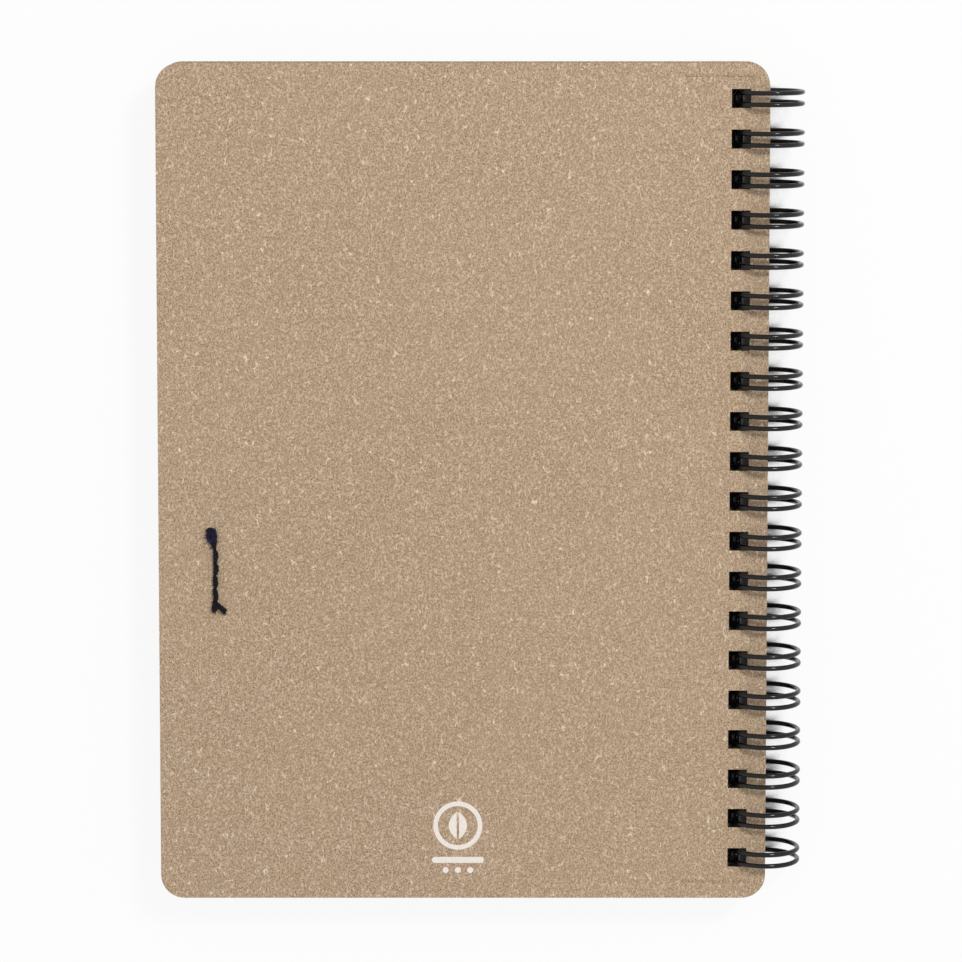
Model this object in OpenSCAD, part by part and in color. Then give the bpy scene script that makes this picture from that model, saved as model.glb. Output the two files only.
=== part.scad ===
// Wire-bound sketchbook, lying closed with its back cover up.
// The axis of the twin-loop wire runs along Y. The spine is at +X, the fore edge at -X and +Z is up.
// The origin is under the middle of the book, level with the lowest point of the wire rings.

/* [Covers] */
// Width of a cover board, from fore edge to spine edge
cover_w = 128; // [110:1:150]
// Height of a cover board, along the spine
cover_h = 177; // [175:1:210]
// Thickness of a cover board
cover_t = 0.9; // [0.6:0.05:1.1]
// Radius of the rounded corners of boards, leaves and strip
corner_r = 5; // [2:0.5:7]

/* [Leaves] */
// Number of leaves between the covers
leaf_count = 24; // [12:1:26]
// Thickness of a leaf
leaf_t = 0.16; // [0.1:0.01:0.18]
// Air left between two leaves
leaf_gap = 0.04; // [0.02:0.01:0.05]
// How much narrower a leaf is than a cover
leaf_narrower = 3; // [2.5:0.5:6]
// How far a leaf stays inside the cover's top and bottom edges
leaf_inset = 0.5; // [0:0.25:2]

/* [Punched holes] */
// Number of holes along the spine
hole_count = 20; // [4:1:20]
// Distance between the centres of two holes
hole_pitch = 8.467; // [8:0.01:8.6]
// Width and height of a square hole
hole_size = 4; // [3.8:0.1:4.4]
// Width of the margin between a hole and the spine edge of its sheet
hole_margin = 4; // [3.4:0.1:4.6]
// Distance from the top edge of a cover to the centre of the first hole
first_hole = 7.4; // [7:0.1:9]

/* [Twin-loop wire] */
// Outer diameter of a closed ring
ring_od = 15.1; // [14.8:0.1:16.4]
// Thickness of the wire
wire_d = 1; // [0.8:0.05:1.05]
// Distance between the two wires of one loop
loop_spacing = 2.4; // [2.2:0.05:2.5]
// Bend radius where a wire turns along the spine
foot_bend = 1; // [0.8:0.05:1.2]
// How far the closed tip of a loop stays below the wires that run along the spine
tip_gap = 0.5; // [0.4:0.05:1]
// Clearance between a ring and the holes' edges, by which the leaves hang on it
hang_clear = 0.14; // [0.1:0.02:0.2]
// How far a cover stays short of the axis, so that the covers clear each other when one is turned right round
edge_clear = 0.05; // [0.03:0.01:0.3]
// Clearance above and below the wires that run along the spine
seam_clear = 0.2; // [0.15:0.01:0.3]

/* [Spine strip] */
// Width of the strip glued inside the back cover along the spine
strip_w = 18; // [14:0.5:24]
// Thickness of the strip
strip_t = 0.4; // [0.3:0.05:0.6]
// How far the strip stands past the top edge of the cover
strip_rise = 0.3; // [0:0.1:0.6]

/* [Strip stitches] */
// Number of stitches in each row
stitch_count = 7; // [2:1:7]
// Distance between two stitches
stitch_pitch = 2.15; // [2:0.05:2.2]
// Length of a stitch on the outer face
stitch_len = 1.2; // [1:0.05:1.4]
// Thickness of the strip's thread
strip_thread_d = 0.3; // [0.2:0.05:0.35]
// Distance from the spine edge to the middle of the first stitch
stitch_start = 4; // [3.5:0.1:4.5]
// Distance from the top edge of the cover to the top row
stitch_top = 2.6; // [2.2:0.1:3]
// Distance from the bottom edge of the cover to the bottom row
stitch_bottom = 3.6; // [2.5:0.1:4]
// Clearance round a thread in its needle hole
needle_clear = 0.08; // [0.05:0.01:0.12]

/* [Pen loop] */
// Distance from the fore edge of the cover to the seam of the pen loop
seam_x = 11.8; // [10:0.1:14]
// Height of the middle of the seam above the bottom edge of the cover
seam_y = 70.6; // [40:0.1:130]
// Width of the elastic tape
tape_w = 17; // [16:0.5:22]
// Thickness of the elastic tape
tape_t = 0.4; // [0.3:0.05:0.45]
// Width of the slit between the two layers of the folded loop
slit_t = 0.1; // [0.05:0.01:0.15]
// How far the folded loop stays inside the fore edge
fold_inset = 1; // [0.5:0.1:3]
// How far the sewn ends reach past the seam
tape_end = 2.5; // [1.5:0.1:4]

/* [Pen loop seam] */
// Number of stitches in the seam
seam_stitches = 5; // [3:1:5]
// Distance between two needle holes of the seam
seam_pitch = 2.75; // [2.4:0.05:3]
// Thickness of the thread where it passes a needle hole
seam_thread_d = 0.5; // [0.4:0.05:0.6]
// Thickness of a stitch at its middle
seam_puff_d = 1; // [0.8:0.05:1.2]
// Thickness of the knot at the top end
knot_d = 1.8; // [1.4:0.1:2.4]
// Length of the knot
knot_len = 3.4; // [2.6:0.1:4]
// How far the middle of the knot lies from the seam, towards the fore edge
knot_offset = 0.7; // [0.3:0.1:0.9]
// Thickness of a cut thread end
tail_d = 0.7; // [0.5:0.05:0.9]
// Length of each thread end at the bottom
tail_len = 2.6; // [1.6:0.1:3]

/* [Hidden] */
$fn = 48;

kraft = [0.71, 0.62, 0.51];
kraft_thread = [0.55, 0.44, 0.33];
black_paper = [0.12, 0.12, 0.12];
black_wire = [0.08, 0.08, 0.08];
black_elastic = [0.1, 0.1, 0.11];
black_thread = [0.05, 0.05, 0.09];

wire_r = wire_d / 2;
bead_r = wire_r + 0.01;
ring_r = (ring_od - wire_d) / 2;
leaf_step = leaf_t + leaf_gap;
block_t = leaf_count * leaf_step + leaf_gap;
seam_room = wire_d + 2 * seam_clear;

// Heights are measured from the axis of the wire, which lies midway between the covers
cover_inner_z = (block_t + seam_room + strip_t) / 2;
cover_outer_z = cover_inner_z + cover_t;
strip_z = cover_inner_z - strip_t;
block_top_z = block_t - cover_inner_z;
spine_wire_z = block_top_z + seam_clear + wire_r;

// Angles on a ring run from +X towards +Z
spine_wire_angle = 180 - asin(spine_wire_z / norm([ring_r, foot_bend]));
foot_angle = spine_wire_angle - atan(foot_bend / ring_r);
tip_angle = spine_wire_angle + atan(tip_gap / ring_r) + atan(loop_spacing / 2 / ring_r);

cover_x = -edge_clear;
fore_x = cover_x - cover_w;
// The lowest leaf hangs nearest to the axis, and the others lie in line with it
hang_x = sqrt(pow(ring_r - wire_r, 2) - pow(cover_inner_z - leaf_gap, 2));
leaf_x = hole_margin + hang_clear - hang_x;
leaf_w = cover_w - leaf_narrower;
function leaf_z(n) = (n - 1) * leaf_step + leaf_gap - cover_inner_z;
function leaf_name(n) = str("leaf_", n < 10 ? "0" : "", n);
function hole_y(i) = cover_h - first_hole - i * hole_pitch;

strip_thread_r = strip_thread_d / 2;
stitch_rows = [stitch_bottom, cover_h - stitch_top];
function stitch_x(k) = cover_x - stitch_start - k * stitch_pitch;

tape_z = cover_inner_z - 2 * tape_t - slit_t;
seam_line_x = fore_x + seam_x;
seam_thread_r = seam_thread_d / 2;
function needle_y(k) = seam_y + (seam_stitches / 2 - k) * seam_pitch;

// The origin lies under the middle of the book
module in_place() {
    translate([(cover_w - cover_x - ring_od / 2) / 2, -(cover_h + strip_rise) / 2, ring_od / 2]) children();
}

// A rectangle with round corners, its right edge at x = 0 and its bottom edge at y = 0
module outline(w, h) {
    translate([-w + corner_r, 0]) square([w - 2 * corner_r, h]);
    translate([-w, corner_r]) square([w, h - 2 * corner_r]);
    for (x = [corner_r - w, -corner_r], y = [corner_r, h - corner_r]) translate([x, y]) circle(r = corner_r);
}

// The square holes of a sheet whose spine edge is at x = 0
module punched_holes() {
    for (i = [0 : hole_count - 1])
        translate([-hole_margin - hole_size, hole_y(i) - hole_size / 2]) square(hole_size);
}

// The needle holes of both rows of strip stitches, measured from the axis of the wire
module stitch_holes() {
    for (y = stitch_rows, k = [0 : stitch_count - 1], end = [-1, 1])
        translate([stitch_x(k) + end * stitch_len / 2, y]) circle(r = strip_thread_r + needle_clear);
}

// The needle holes of the pen loop's seam, measured from the axis of the wire
module seam_holes() {
    for (k = [0 : seam_stitches])
        translate([seam_line_x, needle_y(k)]) circle(r = seam_thread_r + needle_clear);
}

// Puts what is drawn at the origin on a ring: X outwards, Y along the wire, Z towards the book's bottom edge
module on_ring(angle) {
    rotate([90, 0, 0]) rotate([0, 0, angle]) translate([ring_r, 0, 0]) children();
}

// Part of a torus of wire round Z, starting at x = bend_r and turning towards +Y
module wire_arc(bend_r, angle) {
    rotate_extrude(angle = angle) translate([bend_r, 0]) circle(r = wire_r);
}

// Where two stretches of wire meet, a hair thicker than the wire so that they become one body
module wire_joint() {
    sphere(r = bead_r);
}

// One of the two wires of a loop, with the foot that turns along the spine, towards side 1 (up) or -1 (down)
module loop_wire(side) {
    translate([0, side * loop_spacing / 2, 0]) {
        rotate([90, 0, 0]) rotate([0, 0, tip_angle]) wire_arc(ring_r, 360 + foot_angle - tip_angle);
        on_ring(foot_angle) {
            wire_joint();
            translate([0, 0, -side * foot_bend]) rotate([0, -side * 90, 0]) wire_arc(foot_bend, 90);
        }
    }
}

// The closed end of a loop, which joins its two wires
module loop_tip() {
    on_ring(tip_angle) rotate([0, 90, 0]) rotate([0, 0, 180]) wire_arc(loop_spacing / 2, 180);
}

// A straight wire along the spine, between two heights on the cover
module spine_wire(y0, y1) {
    translate([0, y1, 0]) on_ring(foot_angle) translate([0, foot_bend, 0]) {
        cylinder(r = wire_r, h = y1 - y0);
        for (z = [0, y1 - y0]) translate([0, 0, z]) wire_joint();
    }
}

module twin_loop_wire() {
    reach = loop_spacing / 2 + foot_bend;
    stub = (hole_pitch - 2 * reach) / 2;
    color(black_wire) {
        for (i = [0 : hole_count - 1]) translate([0, hole_y(i), 0]) {
            loop_wire(1);
            loop_wire(-1);
            loop_tip();
        }
        for (i = [0 : hole_count - 2]) spine_wire(hole_y(i + 1) + reach, hole_y(i) - reach);
        spine_wire(hole_y(0) + reach, hole_y(0) + reach + stub);
        spine_wire(hole_y(hole_count - 1) - reach - stub, hole_y(hole_count - 1) - reach);
    }
}

// A cover board with its holes, lying between two heights
module board(low_z) {
    translate([0, 0, low_z]) linear_extrude(cover_t) difference() {
        translate([cover_x, 0]) outline(cover_w, cover_h);
        translate([cover_x, 0]) punched_holes();
        children();
    }
}

module back_cover() {
    color(kraft) board(cover_inner_z) {
        stitch_holes();
        seam_holes();
    }
}

module front_cover() {
    color(kraft) board(-cover_outer_z);
}

module spine_strip() {
    color(kraft) translate([0, 0, strip_z]) linear_extrude(strip_t) difference() {
        translate([cover_x, strip_rise]) intersection() {
            outline(cover_w, cover_h);
            translate([-strip_w, 0]) square([strip_w, cover_h]);
        }
        translate([cover_x, 0]) punched_holes();
        stitch_holes();
    }
}

// A row of running stitches along X: over the cover for stitch_len, then under the strip to the next one
module stitch_row() {
    over_z = cover_outer_z + strip_thread_r;
    under_z = strip_z - strip_thread_r;
    for (k = [0 : stitch_count - 1], end = [-1, 1]) translate([stitch_x(k) + end * stitch_len / 2, 0, 0]) {
        translate([0, 0, under_z]) cylinder(r = strip_thread_r, h = over_z - under_z);
        for (z = [under_z, over_z]) translate([0, 0, z]) sphere(r = strip_thread_r);
    }
    for (k = [0 : stitch_count - 1]) translate([stitch_x(k) - stitch_len / 2, 0, over_z])
        rotate([0, 90, 0]) cylinder(r = strip_thread_r, h = stitch_len);
    for (k = [1 : stitch_count - 1]) translate([stitch_x(k) + stitch_len / 2, 0, under_z])
        rotate([0, 90, 0]) cylinder(r = strip_thread_r, h = stitch_pitch - stitch_len);
}

module spine_strip_stitches() {
    color(kraft_thread) for (y = stitch_rows) translate([0, y, 0]) stitch_row();
}

// The elastic tape, folded flat towards the fore edge with both ends under the seam
module pen_loop() {
    fold_r = tape_t + slit_t / 2;
    fold_x = fore_x + fold_inset + fold_r;
    end_x = seam_line_x + tape_end;
    slit_end_x = seam_line_x - tape_end;
    color(black_elastic) difference() {
        translate([0, seam_y + tape_w / 2, tape_z]) rotate([90, 0, 0]) linear_extrude(tape_w) difference() {
            union() {
                translate([fold_x, fold_r]) circle(r = fold_r);
                translate([fold_x, 0]) square([end_x - fold_x, 2 * fold_r]);
            }
            translate([fold_x, fold_r]) circle(r = slit_t / 2);
            translate([fold_x, tape_t]) square([slit_end_x - fold_x, slit_t]);
        }
        translate([0, 0, tape_z - tape_t]) linear_extrude(4 * tape_t) seam_holes();
    }
}

// A stitch that swells between its two needle holes, lying along -Y from the origin
module puffed_stitch() {
    puff_r = seam_puff_d / 2;
    rise = puff_r - seam_thread_r;
    bow_r = (pow(seam_pitch / 2, 2) + pow(rise, 2)) / (2 * rise);
    rotate([90, 0, 0]) rotate_extrude() intersection() {
        square([puff_r, seam_pitch]);
        translate([puff_r - bow_r, seam_pitch / 2]) circle(r = bow_r, $fn = 200);
    }
}

// The knot, a short fat roll of thread along Y, resting on the cover
module knot() {
    knot_r = knot_d / 2;
    core = knot_len - knot_d;
    translate([-knot_offset, -core / 2, cover_outer_z + knot_r]) {
        rotate([-90, 0, 0]) cylinder(r = knot_r, h = core);
        for (y = [0, core]) translate([0, y, 0]) sphere(r = knot_r);
    }
}

module pen_loop_seam() {
    over_z = cover_outer_z + seam_puff_d / 2;
    under_z = tape_z - seam_thread_r;
    tail_r = tail_d / 2;
    color(black_thread) translate([seam_line_x, 0, 0]) {
        for (k = [0 : seam_stitches]) translate([0, needle_y(k), under_z])
            cylinder(r = seam_thread_r, h = over_z - under_z);
        for (k = [0 : seam_stitches - 1]) translate([0, needle_y(k), 0]) {
            translate([0, 0, over_z]) puffed_stitch();
            translate([0, 0, under_z]) rotate([90, 0, 0]) cylinder(r = seam_thread_r, h = seam_pitch);
        }
        translate([0, needle_y(0), 0]) knot();
        for (k = [0, seam_stitches]) translate([0, needle_y(k), under_z]) sphere(r = seam_thread_r);
        for (lean = [0, 45]) translate([0, needle_y(seam_stitches), over_z]) rotate([90, 0, lean]) {
            cylinder(r = tail_r, h = tail_len);
            translate([0, 0, tail_len]) sphere(r = tail_r);
        }
    }
}

module leaf(n) {
    color(black_paper) translate([leaf_x, 0, leaf_z(n)]) linear_extrude(leaf_t) difference() {
        translate([0, leaf_inset]) outline(leaf_w, cover_h - 2 * leaf_inset);
        punched_holes();
    }
}

in_place() twin_loop_wire();
in_place() back_cover();
in_place() spine_strip();
in_place() spine_strip_stitches();
in_place() pen_loop();
in_place() pen_loop_seam();
for (n = [1 : leaf_count]) in_place() leaf(n);
in_place() front_cover();
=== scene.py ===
"""Looks for the wire-bound sketchbook. It lies closed with its back cover up, as the frame has it.

X runs from the fore edge to the wire, Y along the wire to the top edge of the pages and Z up, in metres.
"""

import math

import bpy
import numpy as np
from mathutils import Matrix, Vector

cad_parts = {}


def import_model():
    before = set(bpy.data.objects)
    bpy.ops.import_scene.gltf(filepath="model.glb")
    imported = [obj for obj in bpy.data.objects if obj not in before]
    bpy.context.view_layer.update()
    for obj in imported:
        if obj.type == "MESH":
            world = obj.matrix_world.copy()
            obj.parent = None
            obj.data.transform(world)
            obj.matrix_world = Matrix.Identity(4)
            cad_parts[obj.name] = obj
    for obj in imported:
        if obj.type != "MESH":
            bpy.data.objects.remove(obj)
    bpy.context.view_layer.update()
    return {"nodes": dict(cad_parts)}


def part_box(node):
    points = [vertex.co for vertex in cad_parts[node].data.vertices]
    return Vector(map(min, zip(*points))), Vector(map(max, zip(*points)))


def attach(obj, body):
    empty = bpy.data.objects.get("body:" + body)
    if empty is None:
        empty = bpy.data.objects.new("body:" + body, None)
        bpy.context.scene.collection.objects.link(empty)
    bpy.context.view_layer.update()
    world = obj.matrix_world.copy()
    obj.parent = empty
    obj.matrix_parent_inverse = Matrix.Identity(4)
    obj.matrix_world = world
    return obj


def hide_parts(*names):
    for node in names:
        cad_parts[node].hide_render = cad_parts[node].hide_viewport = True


MM = 0.001
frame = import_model()

COVER_LO, COVER_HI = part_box("back_cover")
LEAVES = [name for name in frame["nodes"] if name.startswith("leaf_")]

# The camera stands far above the book's top edge and looks back at its middle.
CAMERA_HEIGHT = 766 * MM
CAMERA_PAST_MIDDLE = 119 * MM
AIM_PAST_MIDDLE = 0.6 * MM
FRAME_WIDTH = 202.4 * MM
SENSOR = 36.0
SHIFT = 0.25

# The key lamp stands to the right of the book and beyond its top edge.
LAMP_DIRECTION = Vector((0.52, 0.62, 1.0))
LAMP_DISTANCE = 1.2
LAMP_SIZE = 0.22
LAMP_POWER = 6.2
WORLD_LIGHT = 0.778

# The camera sees this share of the real shadows on the floor. Within the distance below, floor with the
# first share of open sky or less looks black, and floor with the second share or more looks white: this is
# painted shade under the book, not a real shadow.
FLOOR_SIZE = 6.0
FLOOR_SHADOW = 0.1
COVERED_WITHIN = 14 * MM
COVERED_SKY, OPEN_SKY = 0.22, 0.5

# The painted shade on the walls of the punched holes is told from the outer edges by what stands this near
# in front of them.
HOLE_SHADE_REACH = 4 * MM

# Sizes that the seam of the pen loop shares with the needle holes of the cover.
SEAM_FROM_FORE_EDGE = 11.8 * MM
SEAM_FROM_BOTTOM = 70.6 * MM
SEAM_STITCHES = 5
SEAM_PITCH = 2.75 * MM

# A ply's distance from the thread's line and its own radius, as shares of the thread's radius.
PLY_OFFSET, PLY_RADIUS = 0.48, 0.56

# The radius of a loose fibre end from its root to its tip.
HAIR_RADII = np.array([0.09, 0.08, 0.06, 0.03]) * MM


def srgb(red, green, blue):
    """A linear colour, with alpha, from the 0 to 255 values that a screen shows."""
    def linear(value):
        share = value / 255
        return share / 12.92 if share <= 0.04045 else ((share + 0.055) / 1.055) ** 2.4
    return (linear(red), linear(green), linear(blue), 1.0)


# Materials

class Shading:
    """A material's node tree, with one call for each kind of node that the materials need."""

    def __init__(self, name, **shader_values):
        self.material = bpy.data.materials.new(name)
        self.material.use_nodes = True
        self.tree = self.material.node_tree
        self.tree.nodes.clear()
        output = self.tree.nodes.new("ShaderNodeOutputMaterial")
        self.shader = self.tree.nodes.new("ShaderNodeBsdfPrincipled")
        self.tree.links.new(self.shader.outputs["BSDF"], output.inputs["Surface"])
        for key, value in shader_values.items():
            self.shader.inputs[key.replace("_", " ")].default_value = value

    def node(self, kind, inputs=None, **settings):
        """A node with its inputs, each a value or another node's output, and its settings."""
        made = self.tree.nodes.new("ShaderNode" + kind)
        for key, value in settings.items():
            setattr(made, key, value)
        for key, value in (inputs or {}).items():
            if isinstance(value, bpy.types.NodeSocket):
                self.tree.links.new(value, made.inputs[key])
            else:
                made.inputs[key].default_value = value
        return made

    def place(self, stretch=(1, 1, 1), turn=0.0, offset=0.0):
        """The piece's own coordinates in millimetres, stretched and turned about Z."""
        return self.node("Mapping", {
            "Vector": self.node("TexCoord").outputs["Object"],
            "Scale": Vector(stretch) / MM,
            "Rotation": (0, 0, turn),
            "Location": (offset, offset, offset),
        }).outputs["Vector"]

    def noise(self, place, scale, detail=2.0, roughness=0.5):
        return self.node("TexNoise", {
            "Vector": place, "Scale": scale, "Detail": detail, "Roughness": roughness,
        }).outputs["Fac"]

    def warped(self, place, scale, amount):
        """Coordinates pushed about by noise, so that straight lines drawn in them curl."""
        colour = self.node("TexNoise", {"Vector": place, "Scale": scale, "Detail": 1.0}).outputs["Color"]
        centred = self.node("VectorMath", {0: colour, 1: (0.5, 0.5, 0.5)}, operation="SUBTRACT").outputs[0]
        push = self.node("VectorMath", {0: centred, "Scale": amount}, operation="SCALE").outputs[0]
        return self.node("VectorMath", {0: place, 1: push}, operation="ADD").outputs[0]

    def span(self, value, low, high, to_low=0.0, to_high=1.0):
        """A value mapped smoothly from one range to another and kept inside it."""
        return self.node("MapRange", {
            "Value": value, "From Min": low, "From Max": high, "To Min": to_low, "To Max": to_high,
        }, interpolation_type="SMOOTHSTEP").outputs["Result"]

    def math(self, operation, first, second=0.0):
        return self.node("Math", {0: first, 1: second}, operation=operation).outputs[0]

    def blend(self, share, first, second):
        """A colour between two colours."""
        return self.node("Mix", {0: share, 6: first, 7: second}, data_type="RGBA").outputs[2]

    def colour(self, socket):
        self.tree.links.new(socket, self.shader.inputs["Base Color"])

    def rough(self, socket):
        self.tree.links.new(socket, self.shader.inputs["Roughness"])

    def bump(self, height, distance, strength=1.0):
        normal = self.node("Bump", {"Height": height, "Distance": distance, "Strength": strength}).outputs[0]
        self.tree.links.new(normal, self.shader.inputs["Normal"])


def fibres(shading, cell, width, kept, turn, offset):
    """Curly hairs as a share from 0 to 1: cell borders of a Voronoi pattern, most of them masked away."""
    place = shading.place((1.5 / cell, 1 / cell, 1 / cell), turn, offset)
    curled = shading.warped(place, 1.3, 0.9)
    cells = shading.node("TexVoronoi", {"Vector": curled, "Scale": 1.0}, feature="DISTANCE_TO_EDGE")
    line = shading.span(cells.outputs["Distance"], 0.0, width / cell, 1.0, 0.0)
    mask = shading.span(shading.noise(place, 1.35, 1.0), 1 - kept, 1 - kept + 0.1)
    return shading.math("MULTIPLY", line, mask)


def painted_hole_shade(shading):
    """Painted shade: a share that is 1 on the walls of the punched holes, where little light gets in, and 0
    on open faces and outer edges.
    """
    normal = shading.node("TexCoord").outputs["Normal"]
    upright = shading.math("ABSOLUTE", shading.node("SeparateXYZ", {0: normal}).outputs[2])
    wall = shading.span(upright, 0.3, 0.7, 1.0, 0.0)
    air = shading.node("AmbientOcclusion", {"Distance": HOLE_SHADE_REACH}).outputs["AO"]
    return shading.math("MULTIPLY", wall, shading.span(air, 0.5, 0.85, 1.0, 0.0))


def kraft_board():
    """Unbleached board: brown pulp, mottled, with pale hairs of three sizes and painted shade on the walls
    of the punched holes.
    """
    shading = Shading("kraft_board", Roughness=0.86, Specular_IOR_Level=0.25)
    place = shading.place((1.15, 1, 1))
    mottle = shading.span(shading.noise(place, 2.8, 2.0, 0.7), 0.34, 0.66)
    cloud = shading.noise(place, 0.03, 2.0)
    pulp = shading.blend(mottle, srgb(136, 111, 85), srgb(197, 170, 142))
    pulp = shading.blend(shading.span(cloud, 0.3, 0.7, 0.0, 0.14), pulp, srgb(187, 162, 131))
    layers = (
        (fibres(shading, 0.6, 0.1, 0.57, 0.3, 0.0), 0.74, srgb(215, 192, 164)),
        (fibres(shading, 1.1, 0.13, 0.5, -0.3, 7.3), 0.82, srgb(224, 202, 175)),
        (fibres(shading, 2.1, 0.16, 0.39, 0.12, 19.1), 0.95, srgb(243, 224, 199)),
    )
    relief = mottle
    for hair, strength, tone in layers:
        pulp = shading.blend(shading.math("MULTIPLY", hair, strength), pulp, tone)
        relief = shading.math("ADD", relief, hair)
    # The walls of the punched holes get a painted shade of dark brown in place of the pulp.
    shading.colour(shading.blend(painted_hole_shade(shading), pulp, srgb(38, 32, 28)))
    shading.bump(relief, 0.03 * MM, 0.6)
    return shading.material


def black_paper():
    """Dyed drawing paper with a faint tooth."""
    shading = Shading("black_paper", Roughness=0.9, Specular_IOR_Level=0.2)
    place = shading.place()
    tooth = shading.noise(place, 2.6, 3.0, 0.6)
    shading.colour(shading.blend(shading.span(tooth, 0.3, 0.7), srgb(88, 88, 92), srgb(108, 107, 111)))
    shading.bump(tooth, 0.03 * MM, 0.5)
    return shading.material


def black_wire():
    """Steel wire in a glossy black coat, slightly uneven."""
    shading = Shading("black_wire", Specular_IOR_Level=0.3)
    place = shading.place()
    uneven = shading.noise(place, 1.2, 3.0)
    shading.colour(shading.blend(uneven, srgb(9, 8, 8), srgb(18, 16, 16)))
    shading.rough(shading.span(uneven, 0.3, 0.7, 0.11, 0.18))
    return shading.material


def thread_material(name, dark, light, worn, sheen):
    """Spun thread: fine streaks of light and dark fibre, with worn patches in another tone."""
    shading = Shading(name, Roughness=0.8, Sheen_Weight=sheen, Sheen_Roughness=0.4, Specular_IOR_Level=0.2)
    place = shading.place()
    streaks = shading.noise(place, 9.0, 3.0, 0.6)
    patches = shading.span(shading.noise(place, 0.45, 1.0), 0.48, 0.6)
    yarn = shading.blend(shading.span(streaks, 0.35, 0.65), dark, light)
    shading.colour(shading.blend(patches, yarn, worn))
    shading.bump(streaks, 0.02 * MM, 0.7)
    return shading.material


def black_elastic():
    """Woven elastic tape: crosswise picks over the raised warp ribs of the mesh."""
    shading = Shading("black_elastic", Roughness=0.8, Sheen_Weight=0.2, Specular_IOR_Level=0.3)
    place = shading.place()
    picks = shading.node("TexWave", {
        "Vector": place, "Scale": 0.55, "Distortion": 0.4, "Detail": 1.0,
    }, bands_direction="X").outputs["Fac"]
    shading.colour(shading.blend(picks, srgb(17, 17, 19), srgb(38, 38, 42)))
    shading.bump(picks, 0.05 * MM, 0.8)
    return shading.material


def white_ink():
    """Screen-printed ink, thin enough for the board's grain to show a little."""
    shading = Shading("white_ink", Roughness=0.55, Specular_IOR_Level=0.35)
    place = shading.place()
    grain = shading.noise(place, 2.4, 3.0, 0.6)
    shading.colour(shading.blend(shading.span(grain, 0.25, 0.6), srgb(232, 219, 206), srgb(247, 239, 231)))
    shading.bump(grain, 0.01 * MM, 0.5)
    return shading.material


def dress(node_name, material):
    """Gives a CAD node its finish."""
    mesh = frame["nodes"][node_name].data
    mesh.materials.clear()
    mesh.materials.append(material)


# Mesh tools

def new_piece(name, vertices, faces, material, body, slot):
    """A smooth-shaded mesh of one material that rides on a body."""
    mesh = bpy.data.meshes.new(name)
    mesh.from_pydata([tuple(v) for v in vertices], [], faces)
    mesh.validate()
    mesh.shade_smooth()
    mesh.materials.append(material)
    piece = bpy.data.objects.new(name, mesh)
    bpy.context.scene.collection.objects.link(piece)
    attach(piece, body)
    return piece


def smooth_path(points, steps):
    """A Catmull-Rom curve through the points, with this many steps between two of them."""
    points = np.array(points, float)
    padded = np.vstack([2 * points[0] - points[1], points, 2 * points[-1] - points[-2]])
    curve = []
    for i in range(len(points) - 1):
        a, b, c, d = padded[i:i + 4]
        for t in np.arange(steps) / steps:
            curve.append(0.5 * (2 * b + (c - a) * t + (2 * a - 5 * b + 4 * c - d) * t**2
                                + (3 * b - a - 3 * c + d) * t**3))
    curve.append(points[-1])
    return np.array(curve)


def frames_along(path):
    """Unit side vectors of a path that turn as little as possible from one point to the next."""
    tangents = np.gradient(path, axis=0)
    tangents /= np.linalg.norm(tangents, axis=1)[:, None]
    side = np.cross(tangents[0], (0.3, 0.1, 1.0))
    firsts = []
    for tangent in tangents:
        side = side - tangent * side.dot(tangent)
        side /= np.linalg.norm(side)
        firsts.append(side)
    firsts = np.array(firsts)
    return tangents, firsts, np.cross(tangents, firsts)


def tube(path, radii, sides=8):
    """Vertices and faces of a closed tube whose radius follows the path, with rounded ends."""
    tangents, firsts, seconds = frames_along(path)
    start, end = path[0] - tangents[0] * radii[0] * 0.6, path[-1] + tangents[-1] * radii[-1] * 0.6
    angles = np.arange(sides) * 2 * math.pi / sides
    vertices = [
        point + radius * (math.cos(angle) * first + math.sin(angle) * second)
        for point, radius, first, second in zip(path, radii, firsts, seconds)
        for angle in angles
    ]
    faces = []
    for ring in range(len(path) - 1):
        for k in range(sides):
            here, there = ring * sides, (ring + 1) * sides
            faces.append((here + k, here + (k + 1) % sides, there + (k + 1) % sides, there + k))
    vertices += [start, end]
    first_tip, last_tip = len(vertices) - 2, len(vertices) - 1
    last = (len(path) - 1) * sides
    for k in range(sides):
        faces.append((first_tip, (k + 1) % sides, k))
        faces.append((last_tip, last + k, last + (k + 1) % sides))
    return vertices, faces


def joined(parts):
    """Several vertex and face lists as one."""
    vertices, faces = [], []
    for part_vertices, part_faces in parts:
        base = len(vertices)
        vertices += list(part_vertices)
        faces += [tuple(base + i for i in face) for face in part_faces]
    return vertices, faces


def twisted(path, radii, plies, turns_per_mm):
    """The plies of a thread, each a tube that winds round the path."""
    path, radii = np.array(path), np.array(radii)
    _, firsts, seconds = frames_along(path)
    run = np.concatenate([[0], np.cumsum(np.linalg.norm(np.diff(path, axis=0), axis=1))])
    parts = []
    for ply in range(plies):
        angle = 2 * math.pi * (run / MM * turns_per_mm + ply / plies)
        offset = np.cos(angle)[:, None] * firsts + np.sin(angle)[:, None] * seconds
        parts.append(tube(path + offset * radii[:, None] * PLY_OFFSET, radii * PLY_RADIUS))
    return parts


def hairs(path, radius, count, length, rng):
    """Loose fibre ends that stand off a thread, each a tapered curl rooted inside it."""
    parts = []
    for _ in range(count):
        root = path[rng.integers(2, len(path) - 2)]
        lean = rng.normal(size=3)
        lean[2] = abs(lean[2]) * 0.3
        lean /= np.linalg.norm(lean)
        bend = rng.normal(size=3) * 0.5
        reach = radius + length * rng.uniform(0.4, 1.0)
        points = [root + lean * reach * t + bend * length * 0.5 * t * t for t in (0.0, 0.35, 0.7, 1.0)]
        parts.append(tube(np.array(points), HAIR_RADII, 4))
    return parts


# Pieces

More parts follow.
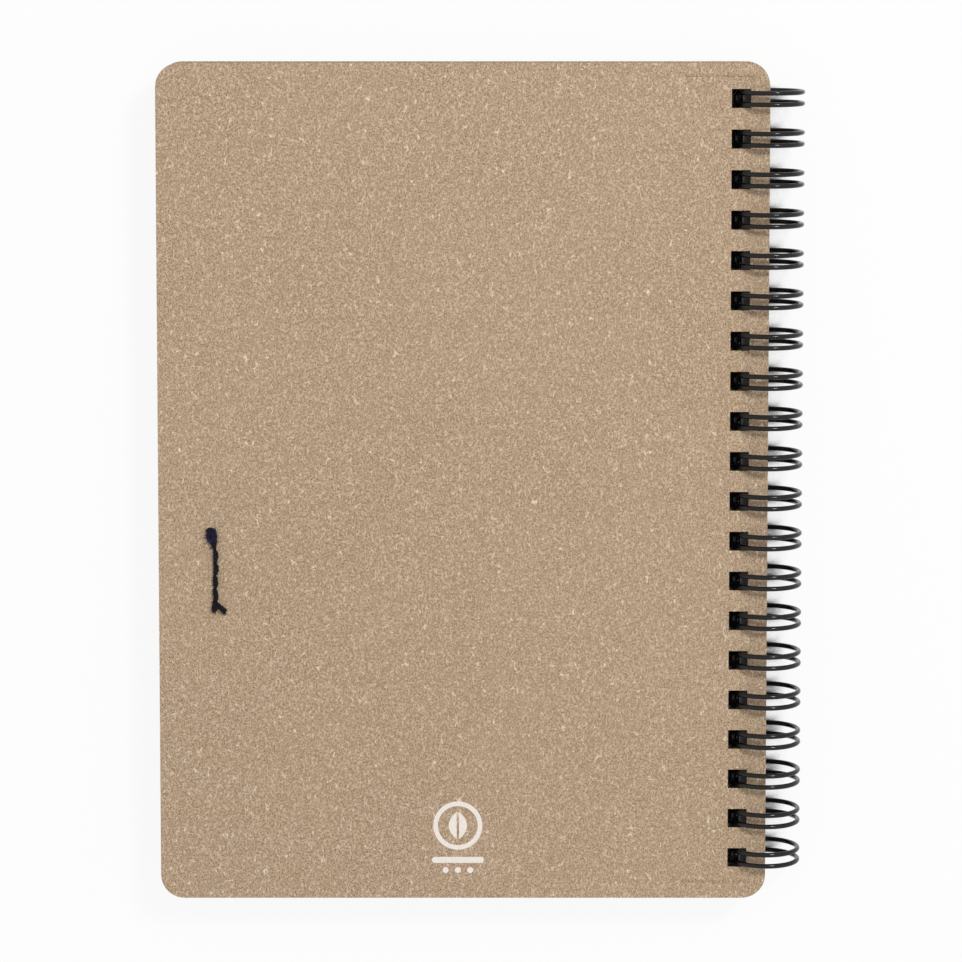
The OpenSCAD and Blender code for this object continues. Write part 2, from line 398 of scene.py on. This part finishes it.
BLACK_THREAD = thread_material("black_thread", srgb(2, 2, 4), srgb(14, 12, 20), srgb(20, 16, 32), 0.06)
KNOT_THREAD = thread_material("knot_thread", srgb(8, 6, 18), srgb(34, 27, 58), srgb(46, 37, 76), 0.06)
KRAFT_THREAD = thread_material(
    "kraft_thread", srgb(176, 150, 120), srgb(206, 180, 150), srgb(200, 174, 144), 0.05)

SEAM_X = COVER_LO.x + SEAM_FROM_FORE_EDGE
SEAM_Y = COVER_LO.y + SEAM_FROM_BOTTOM
SEAM_UNDER_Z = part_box("pen_loop_seam")[0].z


def needle_y(number):
    """How far a needle hole lies from the seam's middle, in millimetres; number 0 is the uppermost."""
    return (SEAM_STITCHES / 2 - number) * SEAM_PITCH / MM


def seam_point(x, y, z):
    """A point given in millimetres from the seam's line, its middle and the cover's outer face."""
    return Vector((SEAM_X + x * MM, SEAM_Y + y * MM, COVER_HI.z + z * MM))


def puffed_stitches(rng):
    """The stitches on the cover's outer face, each swelling and bowed between its two needle holes."""
    parts = []
    bows = (-0.1, 0.24, 0.3, 0.1, 0.12)
    leans = (0.0, -0.02, -0.05, 0.12, 0.12)
    for k, (bow, lean) in enumerate(zip(bows, leans)):
        top, bottom = needle_y(k), needle_y(k + 1)
        near, far = top + (bottom - top) * 0.3, top + (bottom - top) * 0.72
        path = smooth_path([
            seam_point(0.0, top, -0.6),
            seam_point(0.02, top - 0.12, 0.12),
            seam_point(bow, near, 0.52),
            seam_point(bow + lean, far, 0.5),
            seam_point(0.02, bottom + 0.12, 0.12),
            seam_point(0.0, bottom, -0.6),
        ], 9)
        along = np.linspace(0, 1, len(path))
        radii = (0.1 + 0.48 * np.sin(np.pi * along) ** 1.8) * MM
        parts += twisted(path, radii, 3, 0.42)
        parts += hairs(path, 0.4 * MM, 12, 0.5 * MM, rng)
    return parts


def knot(rng):
    """The knot at the seam's upper end: the thread wound round itself a few times."""
    windings = (
        (0.1, -1.3, 0.3), (0.15, 0.1, 0.55), (-0.1, 1.3, 0.6), (-0.9, 1.2, 0.45), (-1.35, 0.1, 0.5),
        (-0.9, -0.9, 0.75), (-0.3, -0.4, 1.15), (-0.35, 0.7, 1.2), (-1.0, 0.8, 0.95), (-1.15, -0.2, 0.6),
        (-0.5, -1.2, 0.4), (0.05, -0.6, 0.9), (0.1, 0.9, 1.05), (-0.6, 1.6, 0.75), (-1.4, 1.35, 0.4),
        (-0.9, 0.4, 0.6), (-0.6, -0.5, 0.55), (-1.4, -0.9, 0.4),
    )
    path = smooth_path([seam_point(x, needle_y(0) + y, z) for x, y, z in windings], 8)
    plies = twisted(path, np.full(len(path), 0.42) * MM, 3, 0.5)
    return plies + hairs(path, 0.4 * MM, 60, 0.7 * MM, rng)


def cut_ends(rng):
    """The two frayed ends below the last stitch."""
    parts = []
    end = needle_y(SEAM_STITCHES)
    for x, y in ((-0.15, end - 1.9), (2.1, end - 2.2)):
        path = smooth_path([
            seam_point(0.0, end, -0.4),
            seam_point(0.02, end - 0.2, 0.3),
            seam_point(x * 0.45, end + (y - end) * 0.5, 0.5),
            seam_point(x, y, 0.4),
        ], 10)
        parts += twisted(path, np.linspace(0.42, 0.62, len(path)) * MM, 3, 0.4)
        parts += hairs(path, 0.35 * MM, 26, 0.5 * MM, rng)
        fray = path[-1]
        for _ in range(9):
            spread = (rng.uniform(-0.45, 0.45), rng.uniform(-0.9, -0.2), rng.uniform(-0.15, 0.2))
            strand = [path[-4], fray, fray + np.array(Vector(spread) * MM)]
            parts.append(tube(smooth_path(strand, 3), np.linspace(0.1, 0.05, 7) * MM, 5))
    return parts


def under_stitches():
    """The thread's way from needle hole to needle hole on the inside of the folded tape."""
    parts = []
    low_z = SEAM_UNDER_Z + 0.3 * MM
    for k in range(SEAM_STITCHES):
        top, bottom = SEAM_Y + needle_y(k) * MM, SEAM_Y + needle_y(k + 1) * MM
        path = smooth_path([
            Vector((SEAM_X, top, COVER_LO.z)),
            Vector((SEAM_X, top - 0.1 * MM, low_z)),
            Vector((SEAM_X, bottom + 0.1 * MM, low_z)),
            Vector((SEAM_X, bottom, COVER_LO.z)),
        ], 8)
        parts += twisted(path, np.full(len(path), 0.25) * MM, 3, 0.5)
    return parts


def pen_loop_seam():
    """The thick black thread: a lumpy line of stitches, a knot at its top and two cut ends at its foot."""
    rng = np.random.default_rng(7)
    stitches = puffed_stitches(rng)
    knot_parts = knot(rng)
    parts = stitches + cut_ends(rng) + under_stitches()
    seam = new_piece("seam_thread", *joined(parts), BLACK_THREAD, "back_cover", "black_thread")
    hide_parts("pen_loop_seam")
    new_piece("seam_knot", *joined(knot_parts), KNOT_THREAD, "back_cover", "black_thread")


def strip_stitches():
    """Two rows of thin tan running stitches that hold the spine strip and fill their needle holes."""
    lo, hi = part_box("spine_strip_stitches")
    radius, hole_radius = 0.15 * MM, 0.25 * MM
    pitch, length, count = 2.15 * MM, 1.2 * MM, 7
    parts = []
    for y in (lo.y + radius, hi.y - radius):
        for k in range(count):
            x = hi.x - radius - length / 2 - k * pitch
            path = smooth_path([
                Vector((x + length / 2, y, COVER_LO.z)),
                Vector((x + length * 0.46, y, COVER_HI.z)),
                Vector((x + length * 0.2, y, COVER_HI.z + radius)),
                Vector((x - length * 0.2, y, COVER_HI.z + radius)),
                Vector((x - length * 0.46, y, COVER_HI.z)),
                Vector((x - length / 2, y, COVER_LO.z)),
            ], 5)
            sunk = np.clip((COVER_HI.z + radius - path[:, 2]) / radius, 0, 1)
            parts += twisted(path, radius + sunk * 0.06 * MM, 2, 0.9)
            for hole_x in (x - length / 2, x + length / 2):
                plug = [Vector((hole_x, y, COVER_LO.z)), Vector((hole_x, y, COVER_HI.z - 0.1 * MM))]
                parts.append(tube(np.array(plug), np.full(2, hole_radius)))
            if k < count - 1:
                start, end = x - length / 2, x - pitch + length / 2
                path = smooth_path([
                    Vector((start, y, COVER_LO.z)),
                    Vector((start - 0.1 * MM, y, lo.z + radius)),
                    Vector((end + 0.1 * MM, y, lo.z + radius)),
                    Vector((end, y, COVER_LO.z)),
                ], 5)
                parts += twisted(path, np.full(len(path), radius), 2, 0.9)
    stitches = new_piece("strip_stitch_thread", *joined(parts), KRAFT_THREAD, "back_cover", "kraft_thread")
    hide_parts("spine_strip_stitches")


def pen_loop():
    """The elastic tape, folded flat, with raised warp ribs along it and round selvedges."""
    lo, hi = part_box("pen_loop")
    thickness = 0.4 * MM
    fold = (hi.z - lo.z) / 2
    ribs, per_rib, round_steps = 20, 6, 14
    low_z, high_z = lo.z + thickness / 2, hi.z - thickness / 2
    flat = np.linspace(hi.x - 0.02 * MM, lo.x + fold, 40)
    bend_r = (high_z - low_z) / 2
    turn = np.linspace(0, math.pi, round_steps)[1:-1]
    centre_z = (low_z + high_z) / 2
    path = [(x, low_z) for x in flat]
    path += [(lo.x + fold - bend_r * math.sin(a), centre_z - bend_r * math.cos(a)) for a in turn]
    path += [(x, high_z) for x in flat[::-1]]
    path = np.array(path)
    tangents = np.gradient(path, axis=0)
    tangents /= np.linalg.norm(tangents, axis=1)[:, None]
    normals = np.column_stack([tangents[:, 1], -tangents[:, 0]])

    across = np.linspace(0, 1, ribs * per_rib + 1)
    swell = 0.5 - 0.5 * np.cos(2 * math.pi * ribs * across)
    edge = np.minimum(1, np.minimum(across, 1 - across) * ribs * 2.5) ** 0.5
    half = thickness / 2 * edge * (0.8 + 0.19 * swell)
    rows = len(across)
    vertices = []
    for sign in (1, -1):
        for (x, z), normal in zip(path, normals):
            for share, depth in zip(across, half):
                offset = normal * depth * sign
                vertices.append((x + offset[0], lo.y + (hi.y - lo.y) * share, z + offset[1]))
    faces = []
    back = len(path) * rows
    for i in range(len(path) - 1):
        for j in range(rows - 1):
            a, b = i * rows + j, (i + 1) * rows + j
            faces.append((a, a + 1, b + 1, b))
            faces.append((back + a, back + b, back + b + 1, back + a + 1))
        for j in (0, rows - 1):
            a, b = i * rows + j, (i + 1) * rows + j
            faces.append((a, b, back + b, back + a) if j == 0 else (a, back + a, back + b, b))
    for i in (0, len(path) - 1):
        for j in range(rows - 1):
            a = i * rows + j
            near = (a, back + a, back + a + 1, a + 1)
            faces.append(near if i == 0 else (a, a + 1, back + a + 1, back + a))
    tape = new_piece("pen_loop_tape", vertices, faces, black_elastic(), "back_cover", "black_elastic")
    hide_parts("pen_loop")


# The generic white print: a ring with a plain leaf in it, a bar and three dots. It lies on the cover's face.
PRINT_X = COVER_LO.x + 62.9 * MM
PRINT_Y = COVER_LO.y + 13.4 * MM
INK_DEPTH = 0.03 * MM


def ink(name, outlines, material):
    """A thin film of ink with these closed outlines; an outline inside another one is a hole."""
    curve = bpy.data.curves.new(name, "CURVE")
    curve.dimensions = "2D"
    curve.fill_mode = "BOTH"
    curve.extrude = INK_DEPTH / 2
    for outline in outlines:
        spline = curve.splines.new("POLY")
        spline.points.add(len(outline) - 1)
        for point, (x, y) in zip(spline.points, outline):
            point.co = (x * MM, y * MM, 0, 1)
        spline.use_cyclic_u = True
    holder = bpy.data.objects.new(name + "_curve", curve)
    bpy.context.scene.collection.objects.link(holder)
    mesh = bpy.data.meshes.new_from_object(holder.evaluated_get(bpy.context.evaluated_depsgraph_get()))
    bpy.data.objects.remove(holder)
    mesh.name = name
    mesh.materials.clear()
    mesh.materials.append(material)
    piece = bpy.data.objects.new(name, mesh)
    piece.location = (PRINT_X, PRINT_Y, COVER_HI.z + INK_DEPTH / 2)
    bpy.context.scene.collection.objects.link(piece)
    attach(piece, "back_cover")


def circle(x, y, radius, steps=64):
    """The outline of a full circle."""
    angles = [2 * math.pi * k / steps for k in range(steps)]
    return [(x + radius * math.cos(angle), y + radius * math.sin(angle)) for angle in angles]


def bar(x, y, width, height, steps=10):
    """A bar with round ends."""
    radius, outline = height / 2, []
    for side, start in ((1, -90), (-1, 90)):
        centre = x + side * (width / 2 - radius)
        for k in range(steps + 1):
            angle = math.radians(start + 180 * k / steps)
            outline.append((centre + radius * math.cos(angle), y + radius * math.sin(angle)))
    return outline


def leaf_half(x, y, length, width, side, gap, steps=16):
    """One side of a plain pointed leaf that stands upright, cut along its middle by a gap."""
    outer = [(x + side * (gap / 2 + width * math.sin(math.pi * t) ** 0.8), y + (t - 0.5) * length)
             for t in np.linspace(0, 1, steps)]
    inner = [(x + side * gap / 2, y + (t - 0.5) * length) for t in np.linspace(0.92, 0.08, 4)]
    return outer + inner


def white_print():
    """The ring, the leaf, the bar and the dots, in millimetres from the print's middle."""
    material = white_ink()
    ink("print_ring", [circle(0, 2.2, 5.2), circle(0, 2.2, 4.2)], material)
    ink("print_leaf", [leaf_half(0, 2.2, 5.8, 1.7, side, 0.5) for side in (-1, 1)], material)
    ink("print_bar", [bar(0, -5.2, 11.0, 1.3)], material)
    ink("print_dots", [circle(x, -7.4, 0.65, 24) for x in (-2.6, 0, 2.6)], material)


# Stage

def floor():
    """A pale floor: nearly white to the camera, with a share of the book's real shadow, and painted shade
    right under the book.
    """
    mesh = bpy.data.meshes.new("floor")
    half = FLOOR_SIZE / 2
    corners = [(-half, -half, 0), (half, -half, 0), (half, half, 0), (-half, half, 0)]
    mesh.from_pydata(corners, [], [(0, 1, 2, 3)])
    material = bpy.data.materials.new("floor")
    material.use_nodes = True
    tree = material.node_tree
    tree.nodes.clear()
    output = tree.nodes.new("ShaderNodeOutputMaterial")
    plain = tree.nodes.new("ShaderNodeBsdfDiffuse")
    plain.inputs["Color"].default_value = (0.9, 0.9, 0.9, 1)
    white = tree.nodes.new("ShaderNodeEmission")
    # Painted shade: the white that the camera sees dims to black where the book covers the sky above the
    # floor.
    open_sky = tree.nodes.new("ShaderNodeAmbientOcclusion")
    open_sky.inputs["Distance"].default_value = COVERED_WITHIN
    covered = tree.nodes.new("ShaderNodeMapRange")
    covered.interpolation_type = "SMOOTHSTEP"
    covered.inputs["From Min"].default_value = COVERED_SKY
    covered.inputs["From Max"].default_value = OPEN_SKY
    tree.links.new(open_sky.outputs["AO"], covered.inputs["Value"])
    tree.links.new(covered.outputs["Result"], white.inputs["Strength"])
    mix = tree.nodes.new("ShaderNodeMixShader")
    tree.links.new(seen_directly(tree, 1 - FLOOR_SHADOW), mix.inputs[0])
    tree.links.new(plain.outputs[0], mix.inputs[1])
    tree.links.new(white.outputs[0], mix.inputs[2])
    tree.links.new(mix.outputs[0], output.inputs["Surface"])
    mesh.materials.append(material)
    plane = bpy.data.objects.new("floor", mesh)
    bpy.context.scene.collection.objects.link(plane)


def seen_directly(tree, share):
    """This share for rays from the camera, of mirror images and through glass, and 0 for other light."""
    rays = tree.nodes.new("ShaderNodeLightPath").outputs
    total = rays["Is Camera Ray"]
    for name in ("Is Glossy Ray", "Is Transmission Ray"):
        larger = tree.nodes.new("ShaderNodeMath")
        larger.operation = "MAXIMUM"
        tree.links.new(total, larger.inputs[0])
        tree.links.new(rays[name], larger.inputs[1])
        total = larger.outputs[0]
    scaled = tree.nodes.new("ShaderNodeMath")
    scaled.operation = "MULTIPLY"
    tree.links.new(total, scaled.inputs[0])
    scaled.inputs[1].default_value = share
    return scaled.outputs[0]


def world():
    """An even pale light from all sides, seen as pure white by the camera."""
    made = bpy.data.worlds.new("studio")
    bpy.context.scene.world = made
    made.use_nodes = True
    tree = made.node_tree
    tree.nodes.clear()
    output = tree.nodes.new("ShaderNodeOutputWorld")
    light = tree.nodes.new("ShaderNodeBackground")
    light.inputs["Strength"].default_value = WORLD_LIGHT
    white = tree.nodes.new("ShaderNodeBackground")
    white.inputs["Color"].default_value = (1, 1, 1, 1)
    mix = tree.nodes.new("ShaderNodeMixShader")
    tree.links.new(seen_directly(tree, 1.0), mix.inputs[0])
    tree.links.new(light.outputs[0], mix.inputs[1])
    tree.links.new(white.outputs[0], mix.inputs[2])
    tree.links.new(mix.outputs[0], output.inputs["Surface"])


def key_lamp():
    """A square lamp that faces the middle of the book."""
    lamp = bpy.data.lights.new("key_lamp", "AREA")
    lamp.size = LAMP_SIZE
    lamp.energy = LAMP_POWER
    holder = bpy.data.objects.new("key_lamp", lamp)
    direction = LAMP_DIRECTION.normalized()
    holder.location = direction * LAMP_DISTANCE
    holder.rotation_mode = "QUATERNION"
    holder.rotation_quaternion = direction.to_track_quat("Z", "Y")
    bpy.context.scene.collection.objects.link(holder)


def camera():
    """Looks back at the middle of the book; the shift stands in for part of the tilt."""
    data = bpy.data.cameras.new("camera")
    past_aim = CAMERA_PAST_MIDDLE - AIM_PAST_MIDDLE
    distance = math.hypot(CAMERA_HEIGHT, past_aim)
    data.sensor_width = SENSOR
    data.lens = SENSOR * distance / FRAME_WIDTH
    data.shift_y = -SHIFT
    tilt = math.atan(past_aim / CAMERA_HEIGHT) - math.atan(SHIFT * SENSOR / data.lens)
    holder = bpy.data.objects.new("camera", data)
    holder.location = (0, CAMERA_PAST_MIDDLE, COVER_HI.z + CAMERA_HEIGHT)
    holder.rotation_euler = (-tilt, 0, 0)
    bpy.context.scene.collection.objects.link(holder)
    bpy.context.scene.camera = holder


camera()
world()
key_lamp()
floor()

board = kraft_board()
for board_node in ("back_cover", "front_cover", "spine_strip"):
    dress(board_node, board)
paper = black_paper()
for leaf_node in LEAVES:
    dress(leaf_node, paper)
dress("twin_loop_wire", black_wire())

pen_loop_seam()
strip_stitches()
pen_loop()
white_print()

bpy.context.scene.view_settings.view_transform = "Standard"
